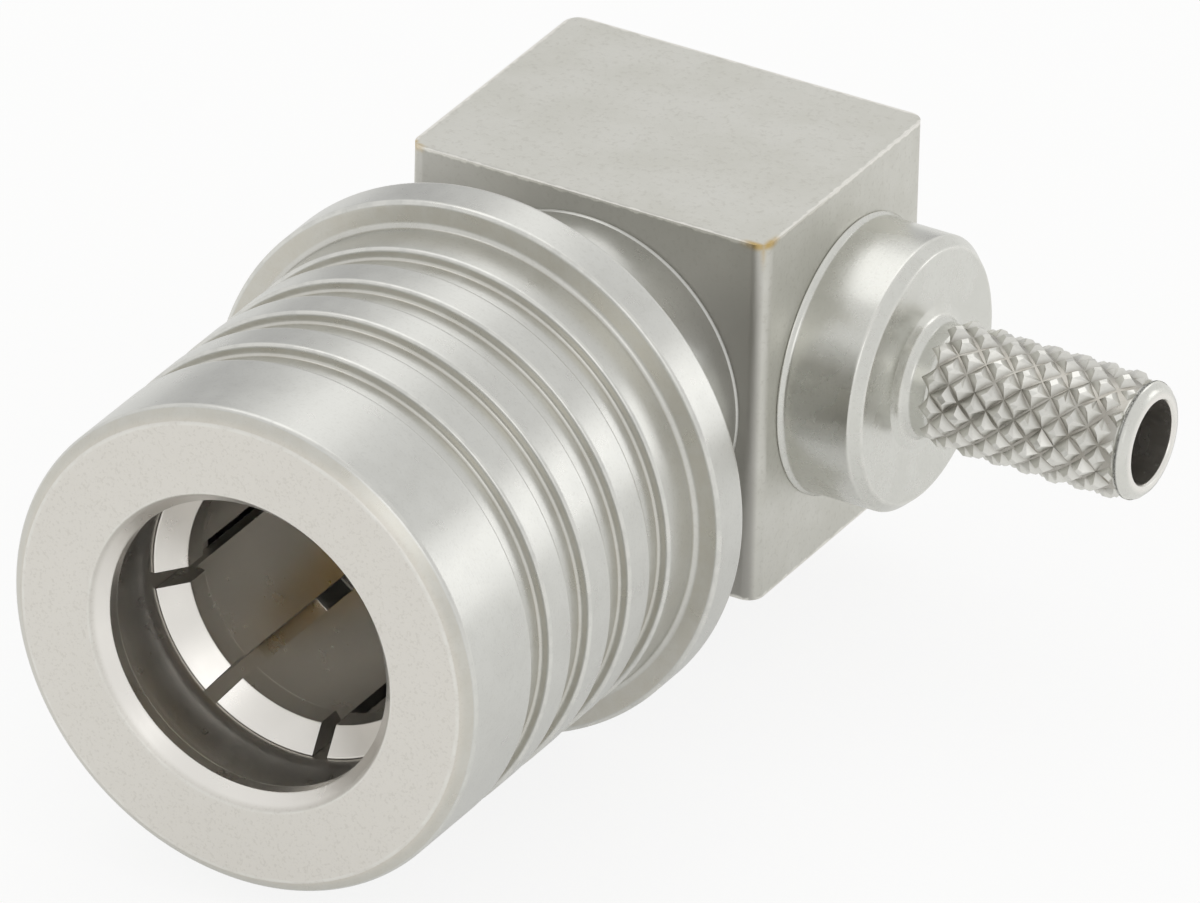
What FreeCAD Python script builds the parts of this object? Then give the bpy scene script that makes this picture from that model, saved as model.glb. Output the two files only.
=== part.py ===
"""Right-angle snap-lock coaxial plug with a crimp cable entry.

Millimetres. The mating axis is Y and the mating mouth faces -Y. The cable leaves along +X, and +Z is up.
The origin is on the mating axis in the reference plane, the floor on which a mated socket's end seats.
"""
import FreeCAD, Part
import math
import os
import Sketcher
from FreeCAD import Vector

# name, value, meaning
SIZES = [
    ("mouth_depth", 10.0, "sleeve front face to reference plane"),
    ("sleeve_length", 8.56, "coupling sleeve, front face to rear face"),
    ("sleeve_radius", 4.6, "grip lands"),
    ("sleeve_edge_radial", 0.27, "front outer chamfer, radial"),
    ("sleeve_edge_axial", 0.22, "front outer chamfer, axial"),
    ("grip_first", 2.74, "front face to rear wall of first grip groove"),
    ("grip_pitch", 1.36, "rear wall to rear wall"),
    ("grip_count", 4, "grip grooves"),
    ("grip_width", 0.66, "one groove"),
    ("grip_depth", 0.22, "one groove"),
    ("grip_slope", 0.38, "axial length of a groove's sloping front side"),
    ("grip_root", 0.05, "corner round at a groove's rear wall"),
    ("flange_radius", 5.1, "pull flange at the rear of the sleeve"),
    ("flange_length", 0.99, "pull flange"),
    ("flange_foot", 0.18, "cove between last land and flange"),
    ("flange_cove", 0.055, "middle of the cove above the land and in front of the flange"),
    ("flange_edge", 0.05, "edge break of flange"),
    ("mouth_radius", 3.01, "outer edge of mouth chamfer"),
    ("mouth_chamfer", 0.305, "axial depth of mouth chamfer"),
    ("lip_radius", 2.755, "front lip of the sleeve's bore"),
    ("lip_length", 0.245, "front lip"),
    ("relief_radius", 3.14, "relief that frees the finger heads when the sleeve is pulled back"),
    ("relief_entry", 0.2, "slope from lip out to relief"),
    ("relief_length", 0.7, "straight part of relief"),
    ("lock_ramp", 0.5, "slope from relief in to locking land"),
    ("lock_length", 1.95, "locking land round the finger heads"),
    ("lock_clearance", 0.04, "locking land to finger head, radial"),
    ("guide_clearance", 0.05, "sleeve bore to spigot, radial"),
    ("sleeve_travel", 1.4, "pull-back stroke that unlocks"),
    ("tip_setback", 2.09, "sleeve front face to finger tips"),
    ("head_radius", 2.94, "fingers, outside"),
    ("head_edge", 0.05, "edge break of finger tips"),
    ("hook_radius", 2.5, "inner lip of the fingers"),
    ("hook_lead", 0.42, "axial length of lead-in cone"),
    ("hook_length", 0.49, "straight part of hook"),
    ("hook_back", 0.12, "axial length of slope behind the hook"),
    ("socket_radius", 2.74, "bore behind the hooks"),
    ("seat_radius", 2.7, "guide bore for the mated socket's end"),
    ("seat_length", 2.5, "guide bore"),
    ("slot_width", 0.3, "between fingers"),
    ("slot_count", 8, "finger slots"),
    ("slot_angle", 8.5, "degrees, first slot from +X towards +Z"),
    ("slot_root", 0.1, "slot end to front of spigot"),
    ("spigot_radius", 3.14, "solid rear part of the collet"),
    ("spigot_lead", 0.65, "front of spigot to front wall of retaining groove"),
    ("ring_gap_setback", 1.01, "front wall of retaining groove to rear face of sleeve"),
    ("ring_gap_width", 0.4, "retaining groove"),
    ("ring_gap_depth", 0.15, "retaining groove"),
    ("ring_thickness", 0.3, "retaining ring, axial"),
    ("ring_radius", 3.45, "retaining ring, outside"),
    ("ring_split", 30, "degrees, opening of the split ring"),
    ("ring_clearance", 0.04, "retaining ring in its groove and in the sleeve, radial"),
    ("stop_clearance", 0.03, "retaining ring to the sleeve's stops, axial"),
    ("spigot_flare", 0.1, "round foot of spigot and boss against the block"),
    ("shank_radius", 2.6, "collet shank pressed into the block"),
    ("shank_length", 1.5, "collet shank"),
    ("dielectric_radius", 2.05, "insulator bead and its bore"),
    ("block_width", 7.2, "elbow block along X"),
    ("block_height", 7.1, "elbow block along Z"),
    ("block_depth", 5.76, "elbow block along Y"),
    ("block_front", 1.79, "reference plane to front face of block"),
    ("block_corner", 0.32, "round of the block's upright edges"),
    ("block_edge", 0.06, "edge break of the block's top and bottom"),
    ("cable_axis", 4.96, "reference plane to cable axis"),
    ("cross_radius", 1.3, "passage from cable entry to solder chamber"),
    ("entry_radius", 2.53, "boss of the cable entry"),
    ("entry_length", 1.58, "boss, block face to its end face"),
    ("entry_edge_radial", 0.18, "boss chamfer, radial"),
    ("entry_edge_axial", 0.2, "boss chamfer, axial"),
    ("entry_shank_radius", 1.5, "shank pressed into the block's side"),
    ("entry_shank_length", 1.6, "shank"),
    ("collar_radius", 1.34, "foot of the crimp neck on the boss face"),
    ("collar_length", 0.13, "foot of the crimp neck"),
    ("root_radius", 1.04, "plain root of the crimp neck"),
    ("root_length", 0.5, "boss face to start of knurl"),
    ("neck_radius", 1.146, "crimp neck over the crests of its knurl"),
    ("neck_length", 4.52, "boss face to end of neck"),
    ("neck_round", 0.17, "end round of neck"),
    ("rim_radius", 1.11, "plain rim past the knurl"),
    ("rim_length", 0.2, "plain rim past the knurl"),
    ("knurl_starts", 12, "grooves of each hand round the neck"),
    ("knurl_pitch", 0.555, "crest to crest along the neck"),
    ("knurl_depth", 0.12, "crest to valley, radial"),
    ("knurl_bed", 0.95, "tube wall under the knurl, outside radius"),
    ("knurl_sink", 0.02, "ends of the knurl below the root and the rim"),
    ("knurl_lap", 0.06, "ends of the knurl inside the root and the rim"),
    ("cable_bore", 0.77, "bore for the cable's core, radius"),
    ("cap_radius", 2.5, "cap and its seat"),
    ("cap_thickness", 0.6, "cap"),
    ("cap_recess", 0.05, "cap below the block's rear face"),
    ("cap_edge", 0.08, "edge break of cap"),
    ("cap_disc_thickness", 0.35, "insulating disc under the cap"),
    ("pin_radius", 0.45, "contact end of centre pin"),
    ("pin_length", 2.4, "centre pin in front of the reference plane"),
    ("pin_nose_radius", 0.2, "blunt end of pin"),
    ("pin_nose_length", 0.4, "taper of pin"),
    ("pin_body_radius", 0.635, "centre pin inside the bead"),
    ("pin_tail", 0.6, "pin beyond the cable axis"),
    ("solder_radius", 0.3, "cross hole for the cable's inner conductor"),
    ("bead_length", 3.2, "insulator bead"),
]

doc = FreeCAD.newDocument("coaxial_plug")
sheet = doc.addObject("Spreadsheet::Sheet", "Sizes")
for row, (name, value, meaning) in enumerate(SIZES, start=1):
    sheet.set(f"A{row}", meaning)
    sheet.set(f"B{row}", str(value))
    sheet.setAlias(f"B{row}", name)
doc.recompute()


def size(text):
    """Value of a sum of sheet names, in millimetres or degrees."""
    return float(sheet.evalExpression(bound(text)))


def bound(text):
    """The same sum as an expression that other objects can be bound to."""
    words = []
    for word in text.replace("(", "( ").replace(")", " )").split():
        words.append(f"Sizes.{word}" if word[0].isalpha() and word[-1] != "(" else word)
    return " ".join(words)


def new_body(name):
    body = doc.addObject("PartDesign::Body", name)
    body.Label = name
    return body


def origin_plane(body, role):
    return next(item for item in body.Origin.OriginFeatures if item.Role == role)


def new_sketch(body, name, role):
    sketch = body.newObject("Sketcher::SketchObject", name)
    sketch.AttachmentSupport = [(origin_plane(body, role), "")]
    sketch.MapMode = "FlatFace"
    return sketch


def pin_vertex(sketch, line, vertex, across, along):
    """Fixes one vertex at two sums of sizes from the sketch's origin. A plain 0 puts it on an axis."""
    for kind, axis_line, text in (("DistanceX", -2, across), ("DistanceY", -1, along)):
        if text == "0":
            sketch.addConstraint(Sketcher.Constraint("PointOnObject", line, vertex, axis_line))
            continue
        item = sketch.addConstraint(Sketcher.Constraint(kind, -1, 1, line, vertex, size(text)))
        sketch.setExpression(f"Constraints[{item}]", bound(text))


def outline(body, name, role, corners):
    """Closed outline through corners that are given as sums of sizes."""
    sketch = new_sketch(body, name, role)
    places = [Vector(size(across), size(along), 0) for across, along in corners]
    count = len(corners)
    for index in range(count):
        sketch.addGeometry(Part.LineSegment(places[index], places[(index + 1) % count]), False)
    for index in range(count):
        sketch.addConstraint(Sketcher.Constraint("Coincident", index, 2, (index + 1) % count, 1))
    for index, (across, along) in enumerate(corners):
        pin_vertex(sketch, index, 1, across, along)
    return sketch


def spin(body, kind, sketch, name, axis="V_Axis"):
    """Full turn of an outline about one of its sketch's axes: kind is Revolution or Groove."""
    feature = body.newObject(f"PartDesign::{kind}", name)
    feature.Profile = sketch
    feature.ReferenceAxis = (sketch, [axis])
    feature.Angle = 360
    doc.recompute()
    return feature


def ring_edges(feature, radius, along, axis="y"):
    """Names of the full-circle edges of one radius at one place along an axis."""
    names = []
    for index, edge in enumerate(feature.Shape.Edges, start=1):
        curve = edge.Curve
        if isinstance(curve, Part.Circle) and abs(curve.Radius - radius) < NEAR:
            if abs(getattr(curve.Center, axis) - along) < NEAR:
                names.append(f"Edge{index}")
    return names


def dress(body, kind, name, feature, edges, text):
    """Fillet or Chamfer on named edges of a feature, sized by a sum of sizes."""
    dressed = body.newObject(f"PartDesign::{kind}", name)
    dressed.Base = (feature, edges)
    dressed.setExpression("Radius" if kind == "Fillet" else "Size", bound(text))
    doc.recompute()
    return dressed


NEAR = 1e-4  # tolerance when an edge is looked up by its place
EAST = "block_width / 2"
REAR = "block_front + block_depth"
FACE = f"{EAST} + entry_length"
KNURL_START = f"{FACE} + root_length"
KNURL_STOP = f"{FACE} + neck_length - rim_length"
SLEEVE_FRONT = "0 - mouth_depth"
SLEEVE_REAR = f"{SLEEVE_FRONT} + sleeve_length"
GROOVE_FRONT = f"{SLEEVE_REAR} - ring_gap_setback"
GROOVE_BACK = f"{GROOVE_FRONT} + ring_gap_width"
RING_SIDE = "( ring_gap_width - ring_thickness ) / 2"
RING_FRONT = f"{GROOVE_FRONT} + {RING_SIDE}"
RING_BACK = f"{RING_FRONT} + ring_thickness"
SPIGOT_FRONT = f"{GROOVE_FRONT} - spigot_lead"


def make_coupling_sleeve():
    """Outer sleeve: ribbed grip, pull flange, and the bore that locks or frees the fingers."""
    body = new_body("coupling_sleeve")
    flange = f"{SLEEVE_REAR} - flange_length"
    lip_end = f"{SLEEVE_FRONT} + mouth_chamfer + lip_length"
    relief = f"{lip_end} + relief_entry"
    ramp = f"{relief} + relief_length"
    lock = f"{ramp} + lock_ramp"
    lock_end = f"{lock} + lock_length"
    cavity = f"{RING_FRONT} - sleeve_travel - stop_clearance"
    cavity_end = f"{RING_BACK} + stop_clearance"
    corners = [
        ("mouth_radius", SLEEVE_FRONT),
        ("sleeve_radius - sleeve_edge_radial", SLEEVE_FRONT),
        ("sleeve_radius", f"{SLEEVE_FRONT} + sleeve_edge_axial"),
        ("sleeve_radius", f"{flange} - flange_foot"),
        ("sleeve_radius + flange_cove", f"{flange} - flange_cove"),
        ("sleeve_radius + flange_foot", flange),
        ("flange_radius", flange),
        ("flange_radius", SLEEVE_REAR),
        ("spigot_radius + guide_clearance", SLEEVE_REAR),
        ("spigot_radius + guide_clearance", cavity_end),
        ("ring_radius + ring_clearance", cavity_end),
        ("ring_radius + ring_clearance", cavity),
        ("spigot_radius + guide_clearance", cavity),
        ("spigot_radius + guide_clearance", lock_end),
        ("head_radius + lock_clearance", lock_end),
        ("head_radius + lock_clearance", lock),
        ("relief_radius", ramp),
        ("relief_radius", relief),
        ("lip_radius", lip_end),
        ("lip_radius", f"{SLEEVE_FRONT} + mouth_chamfer"),
    ]
    turned = spin(body, "Revolution", outline(body, "sleeve_section", "XY_Plane", corners), "sleeve_turned")

    rims = ring_edges(turned, size("flange_radius"), size(flange))
    rims += ring_edges(turned, size("flange_radius"), size(SLEEVE_REAR))
    dress(body, "Chamfer", "sleeve_rims", turned, rims, "flange_edge")

    wall = f"{SLEEVE_FRONT} + grip_first"
    bottom = "sleeve_radius - grip_depth"
    over = "sleeve_radius + grip_depth"
    groove_corners = [
        ("sleeve_radius", f"{wall} - grip_width"),
        (bottom, f"{wall} - grip_width + grip_slope"),
        (bottom, f"{wall} - grip_root"),
        (f"{bottom} + grip_root", wall),
        (over, wall),
        (over, f"{wall} - grip_width"),
    ]
    section = outline(body, "grip_section", "XY_Plane", groove_corners)
    grip = spin(body, "Groove", section, "grip_groove")
    grips = body.newObject("PartDesign::LinearPattern", "grip_grooves")
    grips.Originals = [grip]
    grips.Direction = (section, ["V_Axis"])
    grips.setExpression("Occurrences", bound("grip_count"))
    grips.setExpression("Length", bound("grip_pitch * ( grip_count - 1 )"))
    body.Tip = grips
    return body


def make_locking_collet():
    """Slotted fingers with inner hooks, and the solid spigot and shank that carry them."""
    body = new_body("locking_collet")
    tip = f"{SLEEVE_FRONT} + tip_setback"
    hook = f"{tip} + hook_lead"
    hook_end = f"{hook} + hook_length"
    shank_end = "block_front + shank_length"
    corners = [
        ("head_radius - head_edge", tip),
        ("head_radius", f"{tip} + head_edge"),
        ("head_radius", SPIGOT_FRONT),
        ("spigot_radius", SPIGOT_FRONT),
        ("spigot_radius", GROOVE_FRONT),
        ("spigot_radius - ring_gap_depth", GROOVE_FRONT),
        ("spigot_radius - ring_gap_depth", GROOVE_BACK),
        ("spigot_radius", GROOVE_BACK),
        ("spigot_radius", "block_front - spigot_flare"),
        ("spigot_radius + spigot_flare", "block_front"),
        ("shank_radius", "block_front"),
        ("shank_radius", shank_end),
        ("dielectric_radius", shank_end),
        ("dielectric_radius", "0"),
        ("seat_radius", "0"),
        ("seat_radius", "0 - seat_length"),
        ("socket_radius", "0 - seat_length"),
        ("socket_radius", f"{hook_end} + hook_back"),
        ("hook_radius", hook_end),
        ("hook_radius", hook),
    ]
    spin(body, "Revolution", outline(body, "collet_section", "XY_Plane", corners), "collet_turned")

    half = "slot_width / 2"
    slot_end = f"{SPIGOT_FRONT} - slot_root"
    slot_corners = [
        (f"0 - {half}", f"{tip} - slot_width"),
        (half, f"{tip} - slot_width"),
        (half, slot_end),
        (f"0 - {half}", slot_end),
    ]
    section = outline(body, "slot_section", "XY_Plane", slot_corners)
    slot = body.newObject("PartDesign::Pocket", "finger_slot")
    slot.Profile = section
    slot.Type = "Length"
    slot.setExpression("Length", bound("spigot_radius"))
    slot.Reversed = True
    doc.recompute()
    slots = body.newObject("PartDesign::PolarPattern", "finger_slots")
    slots.Originals = [slot]
    slots.Axis = (section, ["V_Axis"])
    slots.Angle = 360
    slots.setExpression("Occurrences", bound("slot_count"))
    body.Tip = slots
    # The first slot is cut on +Z, so the collet is turned about Y to bring it to its own angle from +X.
    body.Placement = FreeCAD.Placement(Vector(), FreeCAD.Rotation(Vector(0, 1, 0), 0))
    body.setExpression("Placement.Rotation.Angle", bound("90 - slot_angle"))
    return body


def make_retaining_ring():
    """Split ring in the spigot's groove. It lets the sleeve turn and stops it at both ends of its stroke."""
    ring = doc.addObject("Part::Cylinder", "ring_blank")
    ring.setExpression("Radius", bound("ring_radius"))
    ring.setExpression("Height", bound("ring_thickness"))
    ring.setExpression("Angle", bound("360 - ring_split"))
    eye = doc.addObject("Part::Cylinder", "ring_eye")
    eye.setExpression("Radius", bound("spigot_radius - ring_gap_depth + ring_clearance"))
    eye.setExpression("Height", bound("ring_thickness"))
    split_ring = doc.addObject("Part::Cut", "retaining_ring")
    split_ring.Base = ring
    split_ring.Tool = eye
    split_ring.Label = "retaining_ring"
    # Both cylinders stand on Z, so the ring is tipped over to lie round Y.
    split_ring.Placement = FreeCAD.Placement(Vector(), FreeCAD.Rotation(Vector(1, 0, 0), 90))
    split_ring.setExpression("Placement.Base.y", bound(RING_BACK))
    return split_ring


def make_elbow_block():
    """Square block with the bores in which the front and the cable entry meet at a right angle."""
    body = new_body("elbow_block")
    half = "block_width / 2"
    corners = [
        (f"0 - {half}", "block_front"),
        (half, "block_front"),
        (half, REAR),
        (f"0 - {half}", REAR),
    ]
    pad = body.newObject("PartDesign::Pad", "block_bar")
    pad.Profile = outline(body, "block_section", "XY_Plane", corners)
    pad.setExpression("Length", bound("block_height"))
    pad.Midplane = True
    doc.recompute()
    upright = [
        f"Edge{index}"
        for index, edge in enumerate(pad.Shape.Edges, start=1)
        if abs(edge.tangentAt(edge.FirstParameter).z) > 1 - NEAR
    ]
    rounded = dress(body, "Fillet", "block_corners", pad, upright, "block_corner")
    level = [
        f"Edge{index}"
        for index, edge in enumerate(rounded.Shape.Edges, start=1)
        if abs(edge.BoundBox.ZLength) < NEAR
    ]
    dress(body, "Chamfer", "block_rims", rounded, level, "block_edge")

    seat_front = f"{REAR} - cap_recess - cap_thickness - cap_disc_thickness"
    shank_end = "block_front + shank_length"
    bore_corners = [
        ("0", "block_front - spigot_flare"),
        ("shank_radius", "block_front - spigot_flare"),
        ("shank_radius", shank_end),
        ("dielectric_radius", shank_end),
        ("dielectric_radius", seat_front),
        ("cap_radius", seat_front),
        ("cap_radius", f"{REAR} + spigot_flare"),
        ("0", f"{REAR} + spigot_flare"),
    ]
    spin(body, "Groove", outline(body, "front_bore_section", "XY_Plane", bore_corners), "front_bore")

    shank_inner = f"{EAST} - entry_shank_length"
    side_corners = [
        ("0", "0"),
        (f"{EAST} + spigot_flare", "0"),
        (f"{EAST} + spigot_flare", "entry_shank_radius"),
        (shank_inner, "entry_shank_radius"),
        (shank_inner, "cross_radius"),
        ("0", "cross_radius"),
    ]
    section = outline(body, "side_bore_section", "XY_Plane", side_corners)
    section.setExpression("AttachmentOffset.Base.y", bound("cable_axis"))
    body.Tip = spin(body, "Groove", section, "side_bore", "H_Axis")
    return body


def make_neck_knurl():
    """Diamond knurl of the crimp neck, a sleeve of flat facets. Crests and valleys take turns round each ring
    and from ring to ring, and every crest is the point of a low four-sided tooth."""
    start, stop = size(KNURL_START), size(KNURL_STOP)
    row = size("knurl_pitch / 2")
    rows = int((stop - start) / row)
    first = (start + stop - rows * row) / 2
    crest, valley = size("neck_radius"), size("neck_radius - knurl_depth")
    root, rim = size("root_radius - knurl_sink"), size("rim_radius - knurl_sink")
    seat = size("( cable_bore + knurl_bed ) / 2")
    lap = size("knurl_lap")
    count = 2 * round(size("knurl_starts"))

    def ring(along, even, odd):
        """Points round the neck. The radius changes from one to the next."""
        points = []
        for place in range(count):
            angle = 2 * math.pi * place / count
            radius = odd if place % 2 else even
            points.append(Vector(along, -radius * math.sin(angle), radius * math.cos(angle)))
        return points

    rings = [ring(start - lap, root, root), ring(start, root, root)]
    for step in range(rows + 1):
        radii = (valley, crest) if step % 2 else (crest, valley)
        rings.append(ring(first + step * row, *radii))
    rings += [ring(stop, rim, rim), ring(stop + lap, rim, rim)]
    inner = [ring(start - lap, seat, seat), ring(stop + lap, seat, seat)]

    def facet(*points):
        return Part.Face(Part.makePolygon([*points, points[0]]))

    facets = []
    for index, (near, far) in enumerate(zip(rings, rings[1:])):
        for place in range(count):
            after = (place + 1) % count
            if (index + place) % 2:  # the facets of a tooth meet at its crest, so each cell is split between valleys
                facets += [facet(near[place], near[after], far[after]), facet(near[place], far[after], far[place])]
            else:
                facets += [facet(near[place], near[after], far[place]), facet(near[after], far[after], far[place])]
    for place in range(count):
        after = (place + 1) % count
        facets.append(facet(inner[0][place], inner[0][after], inner[1][after], inner[1][place]))
        facets.append(facet(rings[0][place], rings[0][after], inner[0][after], inner[0][place]))
        facets.append(facet(rings[-1][place], rings[-1][after], inner[1][after], inner[1][place]))
    shell = Part.makeShell(facets)
    shell.sewShape()
    knurl = doc.addObject("Part::Feature", "neck_knurl")
    knurl.Shape = Part.makeSolid(Part.Shell(shell.Faces))
    return knurl


def make_cable_entry():
    """Turned entry pressed into the block: boss, crimp neck and the bore for the cable's core."""
    body = new_body("entry_body")
    shank_inner = f"{EAST} - entry_shank_length"
    corners = [
        (shank_inner, "cable_bore"),
        (shank_inner, "entry_shank_radius"),
        (EAST, "entry_shank_radius"),
        (EAST, "entry_radius + spigot_flare"),
        (f"{EAST} + spigot_flare", "entry_radius"),
        (f"{FACE} - entry_edge_axial", "entry_radius"),
        (FACE, "entry_radius - entry_edge_radial"),
        (FACE, "collar_radius"),
        (f"{FACE} + collar_length", "root_radius"),
        (KNURL_START, "root_radius"),
        (KNURL_START, "knurl_bed"),
        (KNURL_STOP, "knurl_bed"),
        (KNURL_STOP, "rim_radius"),
        (f"{FACE} + neck_length", "rim_radius"),
        (f"{FACE} + neck_length", "cable_bore"),
    ]
    turned = spin(
        body, "Revolution", outline(body, "entry_section", "XY_Plane", corners), "entry_turned", "H_Axis"
    )
    end = ring_edges(turned, size("rim_radius"), size(f"{FACE} + neck_length"), "x")
    # The round stays within the rim's own length.
    dress(body, "Fillet", "neck_end", turned, end, "min( neck_round ; 0.95 * rim_length )")

    entry = doc.addObject("Part::Fuse", "cable_entry")
    entry.Base = body
    entry.Tool = make_neck_knurl()
    entry.Label = "cable_entry"
    entry.setExpression("Placement.Base.y", bound("cable_axis"))
    return entry


def make_center_pin():
    """Centre pin: blunt contact end, thicker body in the bead, cross hole for the cable's conductor."""
    body = new_body("center_pin")
    tip = "0 - pin_length"
    tail = "cable_axis + pin_tail"
    corners = [
        ("0", tip),
        ("pin_nose_radius", tip),
        ("pin_radius", f"{tip} + pin_nose_length"),
        ("pin_radius", "0"),
        ("pin_body_radius", "0"),
        ("pin_body_radius", tail),
        ("0", tail),
    ]
    spin(body, "Revolution", outline(body, "pin_section", "XY_Plane", corners), "pin_turned")
    hole = new_sketch(body, "solder_section", "YZ_Plane")
    hole.addGeometry(Part.Circle(Vector(size("cable_axis"), 0, 0), Vector(0, 0, 1), size("solder_radius")), False)
    pin_vertex(hole, 0, 3, "cable_axis", "0")
    item = hole.addConstraint(Sketcher.Constraint("Radius", 0, size("solder_radius")))
    hole.setExpression(f"Constraints[{item}]", bound("solder_radius"))
    cut = body.newObject("PartDesign::Pocket", "solder_hole")
    cut.Profile = hole
    cut.Type = "Length"
    cut.Midplane = True
    cut.setExpression("Length", bound("pin_body_radius * 4"))
    body.Tip = cut
    return body


def make_front_insulator():
    """Bead that holds the centre pin in the collet's shank."""
    body = new_body("front_insulator")
    corners = [
        ("pin_body_radius", "0"),
        ("dielectric_radius", "0"),
        ("dielectric_radius", "bead_length"),
        ("pin_body_radius", "bead_length"),
    ]
    spin(body, "Revolution", outline(body, "bead_section", "XY_Plane", corners), "bead_turned")
    return body


def make_disc(name, radius, near, far, edge=None):
    """Round disc about the mating axis between two places, with an optional edge break at its far rim."""
    body = new_body(name)
    corners = [("0", near), (radius, near), (radius, far), ("0", far)]
    turned = spin(body, "Revolution", outline(body, f"{name}_section", "XY_Plane", corners), f"{name}_turned")
    if edge:
        dress(body, "Chamfer", f"{name}_rim", turned, ring_edges(turned, size(radius), size(far)), edge)
    return body


def check_objects():
    """Stops if any object failed to compute."""
    for item in doc.Objects:
        if "Invalid" in item.State or "Error" in item.State:
            raise RuntimeError(f"{item.Name} did not compute: {item.State}")


cap_inner = f"{REAR} - cap_recess - cap_thickness"
pieces = [
    make_elbow_block(),
    make_locking_collet(),
    make_coupling_sleeve(),
    make_retaining_ring(),
    make_cable_entry(),
    make_center_pin(),
    make_front_insulator(),
    make_disc("cap_insulator", "cap_radius", f"{cap_inner} - cap_disc_thickness", cap_inner),
    make_disc("access_cap", "cap_radius", cap_inner, f"{REAR} - cap_recess", "cap_edge"),
]
doc.recompute()
check_objects()

os.makedirs("parts", exist_ok=True)
for piece in pieces:
    shape = piece.Shape
    if shape.isNull() or not shape.isValid() or len(shape.Solids) != 1:
        raise RuntimeError(f"{piece.Label} is not one valid solid")
    print(f"{piece.Label}: {shape.Volume:.3f} mm3, {len(shape.Faces)} faces")
    shape.exportStep(f"parts/{piece.Label}.step")
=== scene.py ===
"""Right-angle snap-lock coaxial plug: its turned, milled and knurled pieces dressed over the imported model."""
import math

import bmesh
import bpy
from mathutils import Matrix, Vector


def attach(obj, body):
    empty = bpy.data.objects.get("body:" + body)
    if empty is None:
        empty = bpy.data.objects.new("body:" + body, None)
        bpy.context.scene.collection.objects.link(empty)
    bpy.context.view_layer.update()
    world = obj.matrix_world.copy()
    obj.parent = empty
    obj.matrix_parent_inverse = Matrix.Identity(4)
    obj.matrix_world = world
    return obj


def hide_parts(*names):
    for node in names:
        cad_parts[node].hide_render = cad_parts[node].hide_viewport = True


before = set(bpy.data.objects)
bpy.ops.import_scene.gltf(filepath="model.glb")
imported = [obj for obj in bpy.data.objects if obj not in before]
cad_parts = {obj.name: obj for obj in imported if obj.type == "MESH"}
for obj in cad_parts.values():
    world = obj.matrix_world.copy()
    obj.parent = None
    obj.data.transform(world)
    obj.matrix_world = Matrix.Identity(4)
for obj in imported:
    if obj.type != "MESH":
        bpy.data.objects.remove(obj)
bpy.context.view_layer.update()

MM = 0.001
AXIS_Y = (math.radians(90), 0, 0)  # turns a piece from the lathe's Z to the mating axis
AXIS_X = (0, math.radians(-90), 0)  # and to the cable axis
SPINDLE = 1.0  # mm, radius of the circle that a section is swept round

# Sizes in millimetres. Places along the mating axis count from the foot of the centre pin, and those along
# the cable axis from the mating axis.

# Coupling sleeve
SLEEVE_FRONT, SLEEVE_REAR = -10.0, -1.44
SLEEVE_R, FLANGE_R, FLANGE_FRONT = 4.6, 5.1, -2.29
GROOVE_WALLS = [-7.26 + 1.36 * step for step in range(4)]
GROOVE_WIDTH, GROOVE_SLOPE, GROOVE_DEPTH = 0.66, 0.14, 0.22
LIP_R, LIP_FRONT, LIP_REAR = 2.755, -9.695, -9.45
RELIEF_R, RELIEF_FRONT, RELIEF_REAR = 3.14, -9.25, -8.55  # where the finger heads can spread
LOCK_R, LOCK_FRONT, LOCK_REAR = 2.975, -8.05, -6.1  # land that holds the fingers shut
GUIDE_R = 3.19  # runs on the spigot
CAVITY_R, CAVITY_FRONT, CAVITY_REAR = 3.49, -3.83, -2.07  # room for the retaining ring

# Locking collet
FINGER_TIP, FINGER_R, FINGER_BORE = -7.91, 2.965, 2.74
HOOK_R, HOOK_LENGTH = 2.5, 0.42
SLOT_END, SLOT_WIDTH, SLOT_ANGLE = -3.2, 0.3, 8.5  # angle in degrees, first slot from +X towards +Z
SPIGOT_R, SPIGOT_FRONT = 3.14, -3.1
RING_GROOVE_R, RING_GROOVE_FRONT, RING_GROOVE_REAR = 2.99, -2.45, -2.05
SHANK_R, SHANK_END, SHANK_BORE = 2.6, 3.29, 2.05  # pressed in the block

# Elbow block
BLOCK_X, BLOCK_Z, BLOCK_FRONT, BLOCK_BACK = 3.6, 3.55, 1.79, 7.55
CAP_R, CAP_SEAT, PASSAGE_R = 2.5, 6.55, 1.3
CABLE_Y = 4.96

# Cable entry
ENTRY_SHANK_R, ENTRY_SHANK_END = 1.5, 2.0
BOSS_R, BOSS_FACE, NECK_END = 2.53, 5.18, 9.70
NECK_R, NECK_ROOT_R, NECK_RIM_R, NECK_BORE = 1.146, 1.04, 1.08, 0.77
KNURL_STARTS = 12  # grooves of each hand round the neck
KNURL_PITCH = 0.555  # tooth to tooth along the neck
KNURL_START, KNURL_STOP = 5.68, 9.50
KNURL_FIRST, KNURL_ROWS = 5.786, 14  # first row of teeth
KNURL_DEPTH = 0.12
KNURL_FLAT = 0.3  # share of a tooth that its worn tip takes
KNURL_PUSH, KNURL_PATCH = 0.12, 0.3  # how far the pressed metal is out of place, and over what length
KNURL_TAPER, KNURL_TAPERED = 0.94, 0.3  # the teeth's last stretch runs down to the rim


# ---------------------------------------------------------------- small helpers

def linear(code):
    """An sRGB hex colour as linear RGBA."""
    parts = [int(code[place:place + 2], 16) / 255 for place in (0, 2, 4)]
    return [part / 12.92 if part <= 0.04045 else ((part + 0.055) / 1.055) ** 2.4 for part in parts] + [1.0]


def add(tree, kind, values=None, **settings):
    """One node. Settings are its own properties; values fill its inputs, each with another node's output or
    a plain value."""
    node = tree.nodes.new(kind)
    for name, value in settings.items():
        setattr(node, name, value)
    for name, value in (values or {}).items():
        if isinstance(value, bpy.types.NodeSocket):
            tree.links.new(value, node.inputs[name])
        else:
            node.inputs[name].default_value = value
    return node


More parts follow.
